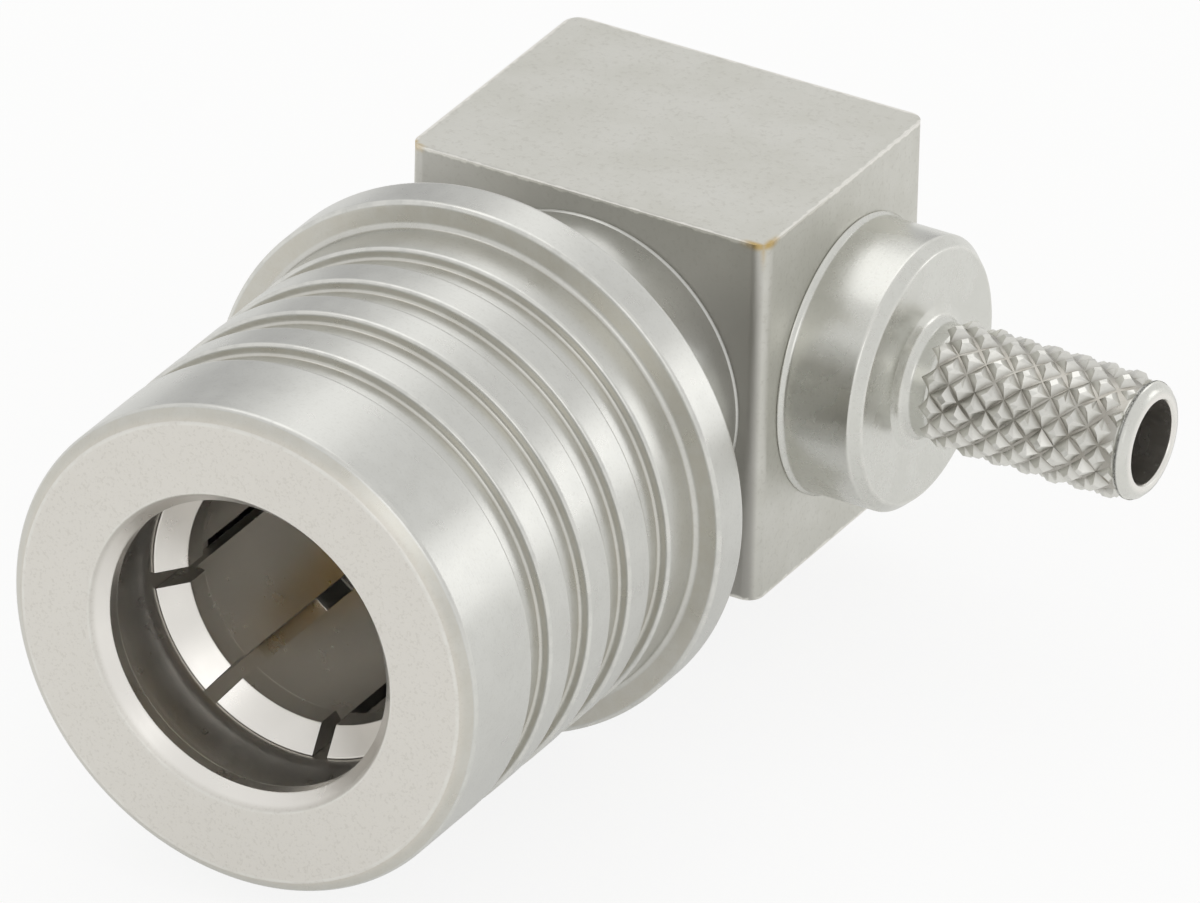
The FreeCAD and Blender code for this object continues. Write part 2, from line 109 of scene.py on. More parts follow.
def link_object(name, mesh):
    piece = bpy.data.objects.new(name, mesh)
    bpy.context.scene.collection.objects.link(piece)
    return piece


def baked(piece):
    """The piece with its modifiers turned into a plain mesh."""
    depsgraph = bpy.context.evaluated_depsgraph_get()
    mesh = bpy.data.meshes.new_from_object(piece.evaluated_get(depsgraph), depsgraph=depsgraph)
    old = piece.data
    piece.modifiers.clear()
    piece.data = mesh
    bpy.data.meshes.remove(old)
    mesh.name = piece.name
    return piece


# ---------------------------------------------------------------- metals

def ramp(tree, value, low, high, out_low=0.0, out_high=1.0):
    """value between low and high, spread smoothly over a new range."""
    return add(tree, "ShaderNodeMapRange", {
        "Value": value, "From Min": low, "From Max": high, "To Min": out_low, "To Max": out_high,
    }, interpolation_type="SMOOTHSTEP").outputs["Result"]


def figure(tree, operation, *values):
    """One sum on numbers."""
    return add(tree, "ShaderNodeMath", dict(enumerate(values)), operation=operation).outputs[0]


def speckle(tree, place, size_mm, detail=2.0, rough=0.5):
    """Even noise whose grains are about size_mm across."""
    return add(tree, "ShaderNodeTexNoise", {
        "Vector": place, "Scale": 1 / (size_mm * MM), "Detail": detail, "Roughness": rough,
    }).outputs["Fac"]


def blend(tree, share, low, high):
    """Colour low where share is 0 and high where it is 1."""
    return add(tree, "ShaderNodeMix", {"Factor": share, 6: low, 7: high}, data_type="RGBA").outputs[2]


def lathe_coordinates(tree, place, axis, centre):
    """(distance from the axis, place along it, 0): the same all round, as a turning tool leaves its marks."""
    shifted = add(tree, "ShaderNodeVectorMath", {0: place, 1: centre}, operation="SUBTRACT").outputs[0]
    parts = add(tree, "ShaderNodeSeparateXYZ", {"Vector": shifted}).outputs
    across = [parts[index] for index in range(3) if "XYZ"[index] != axis]
    radius = figure(tree, "SQRT", figure(tree, "ADD", figure(tree, "MULTIPLY", across[0], across[0]),
                                         figure(tree, "MULTIPLY", across[1], across[1])))
    return add(tree, "ShaderNodeCombineXYZ", {"X": radius, "Y": parts["XYZ".index(axis)]}).outputs[0]


def start_material(name, metallic=1.0):
    """A new material with its tree, shader and object coordinates."""
    material = bpy.data.materials.new(name)
    material.use_nodes = True
    tree = material.node_tree
    shader = tree.nodes["Principled BSDF"]
    shader.inputs["Metallic"].default_value = metallic
    place = add(tree, "ShaderNodeTexCoord").outputs["Object"]
    return material, tree, shader, place


def finish_surface(tree, shader, colour, roughness, height, strength):
    """Colour, roughness and fine relief into the shader."""
    for name, value in (("Base Color", colour), ("Roughness", roughness)):
        tree.links.new(value, shader.inputs[name])
    bump = add(tree, "ShaderNodeBump", {"Height": height, "Strength": strength, "Distance": 0.01 * MM})
    tree.links.new(bump.outputs["Normal"], shader.inputs["Normal"])


def turned_plating(name, axis, centre, body="D4D4D0", deep="B9B8B3", edge="E9E8E3", marks=0.5, rough=0.27,
                   faced=None, bore=None, bump=0.2, film_and_shade_tone="C8C3B6"):
    """Satin silver-grey plating over turned brass: fine rings from the tool, a faint bloom from the bath, and
    edges that handling has polished. The mesh's wear and shade attribute is above zero on an edge and below it
    where a groove's wall or a hollow has a thin brown film, deepened there by painted shade. A faced end, tumbled
    matt and a little warmer, lies beyond faced, its colour also lightened as painted light from the white table below
    it.
    Within the radius bore the colour is lightened as painted light, for the light that reaches into the bore."""
    material, tree, shader, place = start_material(name)
    lathe = lathe_coordinates(tree, place, axis, centre)
    rings = speckle(tree, lathe, 0.05, 3.0, 0.6)
    bloom = speckle(tree, place, 0.6, 4.0, 0.6)
    grain = speckle(tree, place, 0.06, 2.0, 0.6)
    tone = blend(tree, ramp(tree, bloom, 0.3, 0.7, 0.0, 0.22), linear(body), linear(deep))
    tone = blend(tree, ramp(tree, grain, 0.48, 0.3, 0.0, 0.22), tone, linear(deep))
    roughness = ramp(tree, bloom, 0.3, 0.7, rough + 0.03, rough - 0.03)
    radius, along = add(tree, "ShaderNodeSeparateXYZ", {"Vector": lathe}).outputs[:2]
    # Painted light: within the radius bore the colour is lightened, for the light that reaches into the bore.
    if bore is not None:
        tone = blend(tree, ramp(tree, radius, (bore + 0.05) * MM, (bore - 0.05) * MM), tone, linear("EFECE7"))
    # The faced end is tumbled matt and a little warmer; its lighter colour there is painted light from the white
    # table below it.
    if faced is not None:
        flat = ramp(tree, along, (faced + 0.12) * MM, (faced + 0.02) * MM)
        tone = blend(tree, flat, tone, blend(tree, ramp(tree, grain, 0.48, 0.3, 0.0, 0.3), linear("E1DED8"),
                                             linear("C3BFB7")))
        roughness = figure(tree, "ADD", roughness, figure(tree, "MULTIPLY", flat, 0.16))
    wear_and_shade = add(tree, "ShaderNodeAttribute", attribute_name="wear_and_shade").outputs["Fac"]
    ragged = speckle(tree, place, 0.3, 3.0)
    # Below zero the attribute darkens the colour: a thin brown film, deepened with painted shade in the grooves and
    # hollows.
    film_and_shade = figure(tree, "MULTIPLY", figure(tree, "MAXIMUM", figure(tree, "MULTIPLY", wear_and_shade, -1.0), 0.0),
                  ramp(tree, ragged, 0.3, 0.7, 0.7, 1.0))
    tone = blend(tree, film_and_shade, tone, linear(film_and_shade_tone))
    worn = figure(tree, "MULTIPLY", figure(tree, "MAXIMUM", wear_and_shade, 0.0), ramp(tree, ragged, 0.35, 0.6, 0.2, 0.9))
    colour = blend(tree, worn, tone, linear(edge))
    height = figure(tree, "ADD", figure(tree, "MULTIPLY", rings, marks), figure(tree, "MULTIPLY", grain, 1 - marks))
    finish_surface(tree, shader, colour, roughness, height, bump)
    return material


def milled_plating(name, corner_spots):
    """Satin plating over milled and tumbled bar: an even fine grain, edges rubbed bright, and corners rubbed
    through to the brass. The front face behind the sleeve is darkened with painted shade, most in its lower part."""
    material, tree, shader, place = start_material(name)
    parts = add(tree, "ShaderNodeSeparateXYZ", {"Vector": place}).outputs
    half_depth = (BLOCK_BACK - BLOCK_FRONT) / 2
    gaps = [
        figure(tree, "SUBTRACT", BLOCK_X * MM, figure(tree, "ABSOLUTE", parts[0])),
        figure(tree, "SUBTRACT", half_depth * MM,
               figure(tree, "ABSOLUTE", figure(tree, "SUBTRACT", parts[1], (BLOCK_FRONT + half_depth) * MM))),
        figure(tree, "SUBTRACT", BLOCK_Z * MM, figure(tree, "ABSOLUTE", parts[2])),
    ]
    low = figure(tree, "MINIMUM", gaps[0], gaps[1])
    high = figure(tree, "MAXIMUM", gaps[0], gaps[1])
    second = figure(tree, "MAXIMUM", low, figure(tree, "MINIMUM", high, gaps[2]))
    bloom = speckle(tree, place, 1.3, 3.0, 0.6)
    grain = speckle(tree, place, 0.09, 2.0, 0.6)
    ragged = speckle(tree, place, 0.22, 3.0)
    reach = ramp(tree, ragged, 0.3, 0.7, 0.02 * MM, 0.06 * MM)
    worn = ramp(tree, figure(tree, "SUBTRACT", second, reach), 0.03 * MM, -0.02 * MM)
    tone = blend(tree, ramp(tree, bloom, 0.3, 0.7), linear("CFCEC7"), linear("D6D5CF"))
    tone = blend(tree, ramp(tree, grain, 0.48, 0.28, 0.0, 0.28), tone, linear("B2AFA6"))
    # Painted shade: the front face in the gap behind the sleeve is darkened, more so below its top edge.
    painted_shade_behind_sleeve = figure(tree, "MULTIPLY", ramp(tree, parts[1], (BLOCK_FRONT + 0.12) * MM, (BLOCK_FRONT + 0.02) * MM),
                       ramp(tree, parts[2], BLOCK_Z * MM, 1.8 * MM, 0.4, 0.95))
    tone = blend(tree, painted_shade_behind_sleeve, tone, linear("A9A7A2"))
    colour = blend(tree, worn, tone, linear("ECEAE4"))
    for corner, size_mm in corner_spots:
        away = add(tree, "ShaderNodeVectorMath", {0: place, 1: [c * MM for c in corner]}, operation="DISTANCE")
        spot = ramp(tree, figure(tree, "ADD", away.outputs["Value"],
                                 figure(tree, "MULTIPLY", figure(tree, "SUBTRACT", ragged, 0.5), 0.5 * MM)),
                    size_mm * MM, 0.2 * size_mm * MM)
        spot = figure(tree, "MULTIPLY", spot, ramp(tree, second, 0.16 * MM, 0.03 * MM))
        colour = blend(tree, spot, colour, linear("C4A96E"))
    roughness = figure(tree, "ADD", ramp(tree, bloom, 0.3, 0.7, 0.44, 0.38), figure(tree, "MULTIPLY", worn, -0.1))
    finish_surface(tree, shader, colour, roughness, grain, 0.25)
    return material


MATING_AXIS, CABLE_AXIS = (0, 0, 0), (0, CABLE_Y * MM, 0)
sleeve_plating = turned_plating("Satin plating on turned brass, sleeve", "Y", MATING_AXIS,
                                rough=0.3, faced=SLEEVE_FRONT, bore=3.6)
entry_plating = turned_plating("Satin plating on turned brass, cable entry", "X", CABLE_AXIS, "DBDBD6", "BFBEB7",
                               bore=0.9, film_and_shade_tone="A9A59D")
knurl_plating = turned_plating("Satin plating on rolled knurl", "X", CABLE_AXIS, "DDDCD7", "C1BFB8", marks=0.0,
                               rough=0.34, film_and_shade_tone="A3A098")
block_plating = milled_plating("Satin plating on milled brass", [
    ((BLOCK_X, BLOCK_FRONT, BLOCK_Z), 0.62), ((-BLOCK_X, BLOCK_FRONT, BLOCK_Z), 0.35),
])
finger_plating = turned_plating("Satin plating on spring copper", "Y", MATING_AXIS, edge="F3EFE8",
                                rough=0.3, bore=3.0, bump=0.08)
cap_plating = turned_plating("Satin plating on pressed brass cap", "Y", MATING_AXIS, marks=0.3)
ring_steel = turned_plating("Satin spring steel", "Y", MATING_AXIS, "B9B9B7", "9A9A98", "DADAD8")
gold = turned_plating("Gold plating on the contact", "Y", MATING_AXIS, "D9B45C", "B58A3A", "F0D48C", rough=0.22)


def white_resin(name):
    """PTFE, turned and matt: milky, with a soft gloss and a slight shadow inside."""
    material, tree, shader, place = start_material(name, metallic=0.0)
    shader.inputs["Subsurface Weight"].default_value = 0.1
    shader.inputs["Subsurface Scale"].default_value = 0.2 * MM
    bloom = speckle(tree, place, 0.5, 2.0)
    colour = blend(tree, ramp(tree, bloom, 0.3, 0.7), linear("EDEBE4"), linear("F6F5F0"))
    finish_surface(tree, shader, colour, ramp(tree, bloom, 0.3, 0.7, 0.5, 0.42), speckle(tree, place, 0.1), 0.2)
    return material


resin = white_resin("PTFE, turned")


# ---------------------------------------------------------------- turned pieces

def rounded_section(corners, steps=3, margin=0.03):
    """Points of a closed section whose corners (radius, along, round, wear and shade) are rounded off. The last value
    is on the rounds and ends a margin away, so that a flat stays flat and only its edge is worn; below zero it is a
    brown film with painted shade. A fifth value puts that film and painted shade on the flat that follows the corner,
    and is kept below zero in the same attribute."""
    points = []
    count = len(corners)
    flat_film_and_shade = [-corner[4] if len(corner) > 4 else 0.0 for corner in corners]
    for index, (radius, along, size, wear_and_shade) in enumerate(corner[:4] for corner in corners):
        here = Vector((radius, along))
        before = Vector(corners[index - 1][:2]) - here
        after = Vector(corners[(index + 1) % count][:2]) - here
        turn = math.pi - before.angle(after)
        reach = size * math.tan(turn / 2)
        start, end = here + before.normalized() * reach, here + after.normalized() * reach
        arc = [here]
        if size:
            middle = here + (before.normalized() + after.normalized()).normalized() * math.hypot(size, reach)
            sweep = (start - middle).angle_signed(end - middle)
            arc = [middle + Matrix.Rotation(-sweep * step / steps, 2) @ (start - middle)
                   for step in range(steps + 1)]
        if before.length > 2 * (reach + margin) + 0.02:
            points.append((start + before.normalized() * margin, flat_film_and_shade[index - 1]))
        points += [(point, wear_and_shade) for point in arc]
        if after.length > 2 * (reach + margin) + 0.02:
            points.append((end + after.normalized() * margin, flat_film_and_shade[index]))
    return points


def turning_tree():
    """Sweeps a section round a spindle: the rule that every turned piece follows."""
    tree = bpy.data.node_groups.new("Turned on a lathe", "GeometryNodeTree")
    face = tree.interface
    for name, kind in (("Section", "Geometry"), ("Facets", "Int"), ("Spindle", "Float"), ("Axis", "Rotation"),
                       ("Centre", "Vector"), ("Metal", "Material")):
        face.new_socket(name, in_out="INPUT", socket_type=f"NodeSocket{kind}")
    face.new_socket("Piece", in_out="OUTPUT", socket_type="NodeSocketGeometry")
    given = add(tree, "NodeGroupInput").outputs
    section = add(tree, "GeometryNodeMeshToCurve", {"Mesh": given["Section"]})
    circle = add(tree, "GeometryNodeCurvePrimitiveCircle", {
        "Resolution": given["Facets"], "Radius": given["Spindle"],
    })
    swept = add(tree, "GeometryNodeCurveToMesh", {
        "Curve": circle.outputs["Curve"], "Profile Curve": section.outputs["Curve"],
    })
    merged = add(tree, "GeometryNodeMergeByDistance", {"Geometry": swept.outputs["Mesh"], "Distance": 0.0005 * MM})
    placed = add(tree, "GeometryNodeTransform", {
        "Geometry": merged.outputs["Geometry"], "Rotation": given["Axis"], "Translation": given["Centre"],
    })
    smooth = add(tree, "GeometryNodeSetShadeSmooth", {"Geometry": placed.outputs["Geometry"]})
    real = add(tree, "GeometryNodeRealizeInstances", {"Geometry": smooth.outputs["Geometry"]})
    metal = add(tree, "GeometryNodeSetMaterial", {"Geometry": real.outputs["Geometry"], "Material": given["Metal"]})
    add(tree, "NodeGroupOutput", {"Piece": metal.outputs["Geometry"]})
    return tree


def run_tree(piece, tree, values):
    """The piece as the tree makes it from these named inputs, as a plain mesh."""
    modifier = piece.modifiers.new(tree.name, "NODES")
    modifier.node_group = tree
    for item in tree.interface.items_tree:
        if item.in_out == "INPUT" and item.name in values:
            modifier[item.identifier] = values[item.name]
    return baked(piece)


def face_outwards(piece):
    """Recalculates the normals of a closed mesh, after its doubles are merged."""
    shell = bmesh.new()
    shell.from_mesh(piece.data)
    bmesh.ops.remove_doubles(shell, verts=shell.verts, dist=0.0005 * MM)
    bmesh.ops.recalc_face_normals(shell, faces=shell.faces)
    shell.to_mesh(piece.data)
    shell.free()
    return piece


def turned(name, corners, metal, axis, centre=(0, 0, 0), facets=192, steps=3, margin=0.03):
    """A closed turned piece from the corners of its section, in millimetres: (radius, along, round, wear and painted
    shade).
    """
    points = rounded_section(corners, steps, margin)
    mesh = bpy.data.meshes.new(name)
    places = [((point.x - SPINDLE) * MM, point.y * MM, 0) for point, wear_and_shade in points]
    mesh.from_pydata(places, [(i, (i + 1) % len(places)) for i in range(len(places))], [])
    mesh.attributes.new("wear_and_shade", "FLOAT", "POINT").data.foreach_set("value", [wear_and_shade for point, wear_and_shade in points])
    piece = run_tree(link_object(name, mesh), turning, {
        "Facets": facets, "Spindle": SPINDLE * MM, "Axis": axis, "Centre": centre, "Metal": metal,
    })
    return face_outwards(piece)


turning = turning_tree()


def make_sleeve():
    """Coupling sleeve, from its mouth along the outside to the rear and back along the bore."""
    # Below-zero wear and the fifth values darken flats with a brown film and painted shade: the front chamfer, the
    # grooves' rear walls and the flange's front wall.
    corners = [(LIP_R + 0.255, SLEEVE_FRONT, 0.03, 0.5), (SLEEVE_R - 0.27, SLEEVE_FRONT, 0.05, 0.8, 0.5),
               (SLEEVE_R, SLEEVE_FRONT + 0.22, 0.08, 0.4)]
    for wall in GROOVE_WALLS:
        front, floor = wall - GROOVE_WIDTH, SLEEVE_R - GROOVE_DEPTH
        corners += [(SLEEVE_R, front, 0.06, 0.3), (floor, front + GROOVE_SLOPE, 0.12, 0.0),
                    (floor, wall, 0.06, -0.4, 0.7), (SLEEVE_R, wall, 0.05, 0.6)]
    corners += [(SLEEVE_R, FLANGE_FRONT, 0.09, -0.2, 0.6), (FLANGE_R, FLANGE_FRONT, 0.06, 0.6),
                (FLANGE_R, SLEEVE_REAR, 0.07, 0.6), (GUIDE_R, SLEEVE_REAR, 0.05, 0.3),
                (GUIDE_R, CAVITY_REAR, 0.02, 0), (CAVITY_R, CAVITY_REAR, 0.02, 0), (CAVITY_R, CAVITY_FRONT, 0.02, 0),
                (GUIDE_R, CAVITY_FRONT, 0.02, 0), (GUIDE_R, LOCK_REAR, 0.02, 0), (LOCK_R, LOCK_REAR, 0.02, 0),
                (LOCK_R, LOCK_FRONT, 0.8, 0), (RELIEF_R, RELIEF_REAR, 1.9, 0), (RELIEF_R, RELIEF_FRONT, 0.04, 0),
                (LIP_R, LIP_REAR, 0.03, 0.3), (LIP_R, LIP_FRONT, 0.03, 0.5)]
    piece = turned("sleeve_turned", corners, sleeve_plating, AXIS_Y, facets=256)
    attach(piece, "sleeve")
    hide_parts("coupling_sleeve")
    return piece


def make_entry():
    """Boss, collar and crimp neck of the cable entry. The knurl's teeth stand on the neck's core."""
    core = NECK_R - KNURL_DEPTH
    corners = [(NECK_BORE, ENTRY_SHANK_END, 0.03, 0), (ENTRY_SHANK_R, ENTRY_SHANK_END, 0.03, 0),
               (ENTRY_SHANK_R, BLOCK_X, 0.02, 0), (BOSS_R + 0.1, BLOCK_X, 0.02, 0.3),
               (BOSS_R, BLOCK_X + 0.1, 0.1, 0.0), (BOSS_R, BOSS_FACE - 0.2, 0.06, 0.5),
               (BOSS_R - 0.18, BOSS_FACE, 0.05, 0.6), (NECK_ROOT_R + 0.3, BOSS_FACE, 0.06, 0),
               (NECK_ROOT_R + 0.1, BOSS_FACE + 0.07, 0.1, 0.4), (NECK_ROOT_R, BOSS_FACE + 0.2, 0.08, 0),
               # The core between the knurl's teeth carries a brown film with painted shade.
               (NECK_ROOT_R, KNURL_START, 0.03, 0), (core, KNURL_START + 0.05, 0.02, 0, 1.0),
               (core, KNURL_STOP - 0.05, 0.02, 0), (NECK_RIM_R, KNURL_STOP - 0.02, 0.03, 0.3),
               (NECK_RIM_R, NECK_END, 0.22, 0.3), (NECK_BORE + 0.03, NECK_END, 0.02, 1.0),
               (NECK_BORE, NECK_END - 0.05, 0.02, 0)]
    piece = turned("entry_turned", corners, entry_plating, AXIS_X, (0, CABLE_Y * MM, 0), facets=160)
    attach(piece, "elbow")
    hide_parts("cable_entry")
    return piece


def make_collet():
    """Locking collet: eight slotted fingers with inner hooks, on a solid spigot with the retaining groove."""
    corners = [(FINGER_R - 0.015, FINGER_TIP, 0.01, 0.2), (FINGER_R, FINGER_TIP + 0.02, 0.01, 0.2),
               (FINGER_R, SPIGOT_FRONT, 0.02, 0), (SPIGOT_R, SPIGOT_FRONT, 0.04, 0),
               (SPIGOT_R, RING_GROOVE_FRONT, 0.02, 0.3), (RING_GROOVE_R, RING_GROOVE_FRONT, 0.02, 0),
               (RING_GROOVE_R, RING_GROOVE_REAR, 0.02, 0), (SPIGOT_R, RING_GROOVE_REAR, 0.02, 0.3),
               (SPIGOT_R, BLOCK_FRONT - 0.06, 0.03, 0), (SPIGOT_R + 0.04, BLOCK_FRONT, 0.01, 0),
               (SHANK_R, BLOCK_FRONT, 0.02, 0), (SHANK_R, SHANK_END, 0.05, 0), (SHANK_BORE, SHANK_END, 0.02, 0),
               (SHANK_BORE, 0, 0.02, 0), (2.7, 0, 0.02, 0), (2.7, -2.5, 0.01, 0), (FINGER_BORE, -2.5, 0.01, 0),
               (FINGER_BORE, -6.88, 0.04, 0), (HOOK_R, -7.0, 0.04, 0.3),
               (HOOK_R, FINGER_TIP + HOOK_LENGTH, 0.04, 0.3)]
    piece = turned("collet_turned", corners, finger_plating, AXIS_Y, facets=192)
    saws = []
    for step in range(4):
        saw = bmesh.new()
        turn = Matrix.Rotation(math.radians(-SLOT_ANGLE - 45 * step), 4, "Y")
        middle = (SLOT_END + FINGER_TIP - 0.5) / 2
        bmesh.ops.create_cube(saw, size=1, matrix=turn @ Matrix.Translation((0, middle * MM, 0)) @ Matrix.Diagonal(
            (7 * MM, (SLOT_END - FINGER_TIP + 0.5) * MM, SLOT_WIDTH * MM, 1)))
        mesh = bpy.data.meshes.new("saw")
        saw.to_mesh(mesh)
        saw.free()
        saws.append(link_object("saw", mesh))
        cut = piece.modifiers.new("finger_slot", "BOOLEAN")
        cut.object, cut.solver = saws[-1], "EXACT"
    baked(piece)
    for saw in saws:
        bpy.data.objects.remove(saw)
    piece.data.set_sharp_from_angle(angle=math.radians(50))
    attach(piece, "elbow")
    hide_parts("locking_collet")
    return piece


# ---------------------------------------------------------------- knurl

def tooth_mesh():
    """One knurl tooth at the top of the neck: a low pyramid on a diamond foot, with a small worn tip."""
    core = NECK_R - KNURL_DEPTH
    half_angle = math.pi / KNURL_STARTS
    foot, tip = [], []
    for along, turn in ((-1, 0), (0, -1), (1, 0), (0, 1)):
        for ring, radius, share in ((foot, core - 0.012, 0.98), (tip, NECK_R, KNURL_FLAT)):
            angle = turn * half_angle * share
            ring.append((along * KNURL_PITCH / 2 * share * MM, -radius * math.sin(angle) * MM,
                         radius * math.cos(angle) * MM))
    faces = [(3, 2, 1, 0), (4, 5, 6, 7)] + [(i, (i + 1) % 4, 4 + (i + 1) % 4, 4 + i) for i in range(4)]
    mesh = bpy.data.meshes.new("knurl_tooth")
    mesh.from_pydata(foot + tip, [], faces)
    # The tooth's foot carries a brown film with painted shade, its tip a bright worn spot.
    mesh.attributes.new("wear_and_shade", "FLOAT", "POINT").data.foreach_set("value", [-1.0] * 4 + [0.8] * 4)
    return mesh


def knurling_tree():
    """Repeats a tooth along and round the neck. Every other row is half a tooth round, as two crossing
    rows of grooves leave it. The metal that the rollers pressed up is a little uneven."""
    tree = bpy.data.node_groups.new("Diamond knurl", "GeometryNodeTree")
    face = tree.interface
    for name, kind in (("Tooth", "Geometry"), ("Starts", "Int"), ("Rows", "Int"), ("Pitch", "Float"),
                       ("First Row", "Float"), ("Stop", "Float"), ("Centre", "Vector"), ("Push", "Float"),
                       ("Patches", "Float"), ("Tapered", "Float"), ("Taper", "Float"), ("Metal", "Material")):
        face.new_socket(name, in_out="INPUT", socket_type=f"NodeSocket{kind}")
    face.new_socket("Knurl", in_out="OUTPUT", socket_type="NodeSocketGeometry")
    given = add(tree, "NodeGroupInput").outputs
    number = add(tree, "GeometryNodeInputIndex").outputs[0]
    row = figure(tree, "FLOOR", figure(tree, "DIVIDE", figure(tree, "ADD", number, 0.5), given["Starts"]))
    column = figure(tree, "FLOORED_MODULO", number, given["Starts"])
    offset = figure(tree, "MULTIPLY", figure(tree, "FLOORED_MODULO", row, 2.0), 0.5)
    share = figure(tree, "DIVIDE", figure(tree, "ADD", column, offset), given["Starts"])
    angle = figure(tree, "MULTIPLY", share, 2 * math.pi)
    along = figure(tree, "ADD", figure(tree, "MULTIPLY", row, figure(tree, "DIVIDE", given["Pitch"], 2.0)),
                   given["First Row"])
    place = add(tree, "ShaderNodeCombineXYZ", {"X": along}).outputs[0]
    turn = add(tree, "ShaderNodeCombineXYZ", {"X": angle}).outputs[0]
    points = add(tree, "GeometryNodePoints", {
        "Count": figure(tree, "MULTIPLY", given["Starts"], given["Rows"]), "Position": place,
    })
    teeth = add(tree, "GeometryNodeInstanceOnPoints", {
        "Points": points.outputs[0], "Instance": given["Tooth"], "Rotation": turn,
    })
    real = add(tree, "GeometryNodeRealizeInstances", {"Geometry": teeth.outputs[0]})
    noise = add(tree, "ShaderNodeTexNoise", {"Scale": given["Patches"], "Detail": 1.0}).outputs["Color"]
    push = add(tree, "ShaderNodeVectorMath", {0: noise, 1: (0.5, 0.5, 0.5)}, operation="SUBTRACT").outputs[0]
    push = add(tree, "ShaderNodeVectorMath", {0: push, "Scale": given["Push"]}, operation="SCALE").outputs[0]
    corner = add(tree, "ShaderNodeSeparateXYZ", {"Vector": add(tree, "GeometryNodeInputPosition").outputs[0]}).outputs
    taper = add(tree, "ShaderNodeMapRange", {
        "Value": corner[0], "From Min": figure(tree, "SUBTRACT", given["Stop"], given["Tapered"]),
        "From Max": given["Stop"], "To Min": 1.0, "To Max": given["Taper"],
    }).outputs[0]
    ended = add(tree, "ShaderNodeCombineXYZ", {
        "X": figure(tree, "MINIMUM", corner[0], given["Stop"]), "Y": figure(tree, "MULTIPLY", corner[1], taper),
        "Z": figure(tree, "MULTIPLY", corner[2], taper),
    }).outputs[0]
    pressed = add(tree, "GeometryNodeSetPosition", {"Geometry": real.outputs[0], "Position": ended, "Offset": push})
    placed = add(tree, "GeometryNodeTransform", {"Geometry": pressed.outputs[0], "Translation": given["Centre"]})
    metal = add(tree, "GeometryNodeSetMaterial", {"Geometry": placed.outputs[0], "Material": given["Metal"]})
    add(tree, "NodeGroupOutput", {"Knurl": metal.outputs[0]})
    return tree


def make_knurl():
    """The knurl's teeth, each a closed pyramid whose foot is sunk in the neck's core."""
    piece = run_tree(link_object("neck_knurl", tooth_mesh()), knurling_tree(), {
        "Starts": KNURL_STARTS, "Rows": KNURL_ROWS, "Pitch": KNURL_PITCH * MM, "First Row": KNURL_FIRST * MM,
        "Stop": (KNURL_STOP - 0.04) * MM, "Centre": (0, CABLE_Y * MM, 0), "Push": KNURL_PUSH * MM,
        "Patches": 1 / (KNURL_PATCH * MM), "Tapered": KNURL_TAPERED * MM, "Taper": KNURL_TAPER,
        "Metal": knurl_plating,
    })
    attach(piece, "elbow")
    return piece


# ---------------------------------------------------------------- elbow block

def make_block():
    """Elbow block: bar with rounded upright edges, bored for the collet, the entry and the cap."""
    shell = bmesh.new()
    depth = BLOCK_BACK - BLOCK_FRONT
    bmesh.ops.create_cube(shell, size=1, matrix=Matrix.Translation((0, (BLOCK_FRONT + depth / 2) * MM, 0))
                          @ Matrix.Diagonal((2 * BLOCK_X * MM, depth * MM, 2 * BLOCK_Z * MM, 1)))
    upright = [edge for edge in shell.edges if abs((edge.verts[0].co - edge.verts[1].co).normalized().z) > 0.9]
    bmesh.ops.bevel(shell, geom=upright, offset=0.3 * MM, segments=8, profile=0.5, affect="EDGES")
    mesh = bpy.data.meshes.new("block_milled")
    shell.to_mesh(mesh)
    shell.free()
    piece = link_object("block_milled", mesh)
    bores = [
        turned("front_bore", [(0.001, 1.0, 0, 0), (SHANK_R, 1.0, 0, 0), (SHANK_R, SHANK_END, 0, 0),
                              (SHANK_BORE, SHANK_END, 0, 0), (SHANK_BORE, CAP_SEAT, 0, 0), (CAP_R, CAP_SEAT, 0, 0),
                              (CAP_R, 8.0, 0, 0), (0.001, 8.0, 0, 0)], None, AXIS_Y, facets=128),
        turned("side_bore", [(0.001, 0.5, 0, 0), (PASSAGE_R, 0.5, 0, 0), (PASSAGE_R, ENTRY_SHANK_END, 0, 0),
                             (ENTRY_SHANK_R, ENTRY_SHANK_END, 0, 0), (ENTRY_SHANK_R, 4.0, 0, 0),
                             (0.001, 4.0, 0, 0)], None, AXIS_X, (0, CABLE_Y * MM, 0), facets=96),
    ]
    for bore in bores:
        cut = piece.modifiers.new(bore.name, "BOOLEAN")
        cut.object, cut.solver = bore, "EXACT"
    edges = piece.modifiers.new("edge_break", "BEVEL")
    edges.width, edges.segments, edges.limit_method, edges.angle_limit = 0.07 * MM, 3, "ANGLE", math.radians(40)
    edges.harden_normals = False
    normals = piece.modifiers.new("flat_faces", "WEIGHTED_NORMAL")
    normals.keep_sharp = False
    for face in piece.data.polygons:
        face.use_smooth = True
    baked(piece)
    for bore in bores:
        bpy.data.objects.remove(bore)
    piece.data.materials.clear()
    piece.data.materials.append(block_plating)
    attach(piece, "elbow")
    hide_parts("elbow_block")
    return piece


make_sleeve()
make_collet()
make_entry()
make_knurl()
make_block()

for node, metal in (("retaining_ring", ring_steel), ("center_pin", gold), ("front_insulator", resin),
                    ("cap_insulator", resin), ("access_cap", cap_plating)):
    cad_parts[node].data.materials.clear()
    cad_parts[node].data.materials.append(metal)


# ---------------------------------------------------------------- floor, light and camera

FLOOR_Z = -5.12


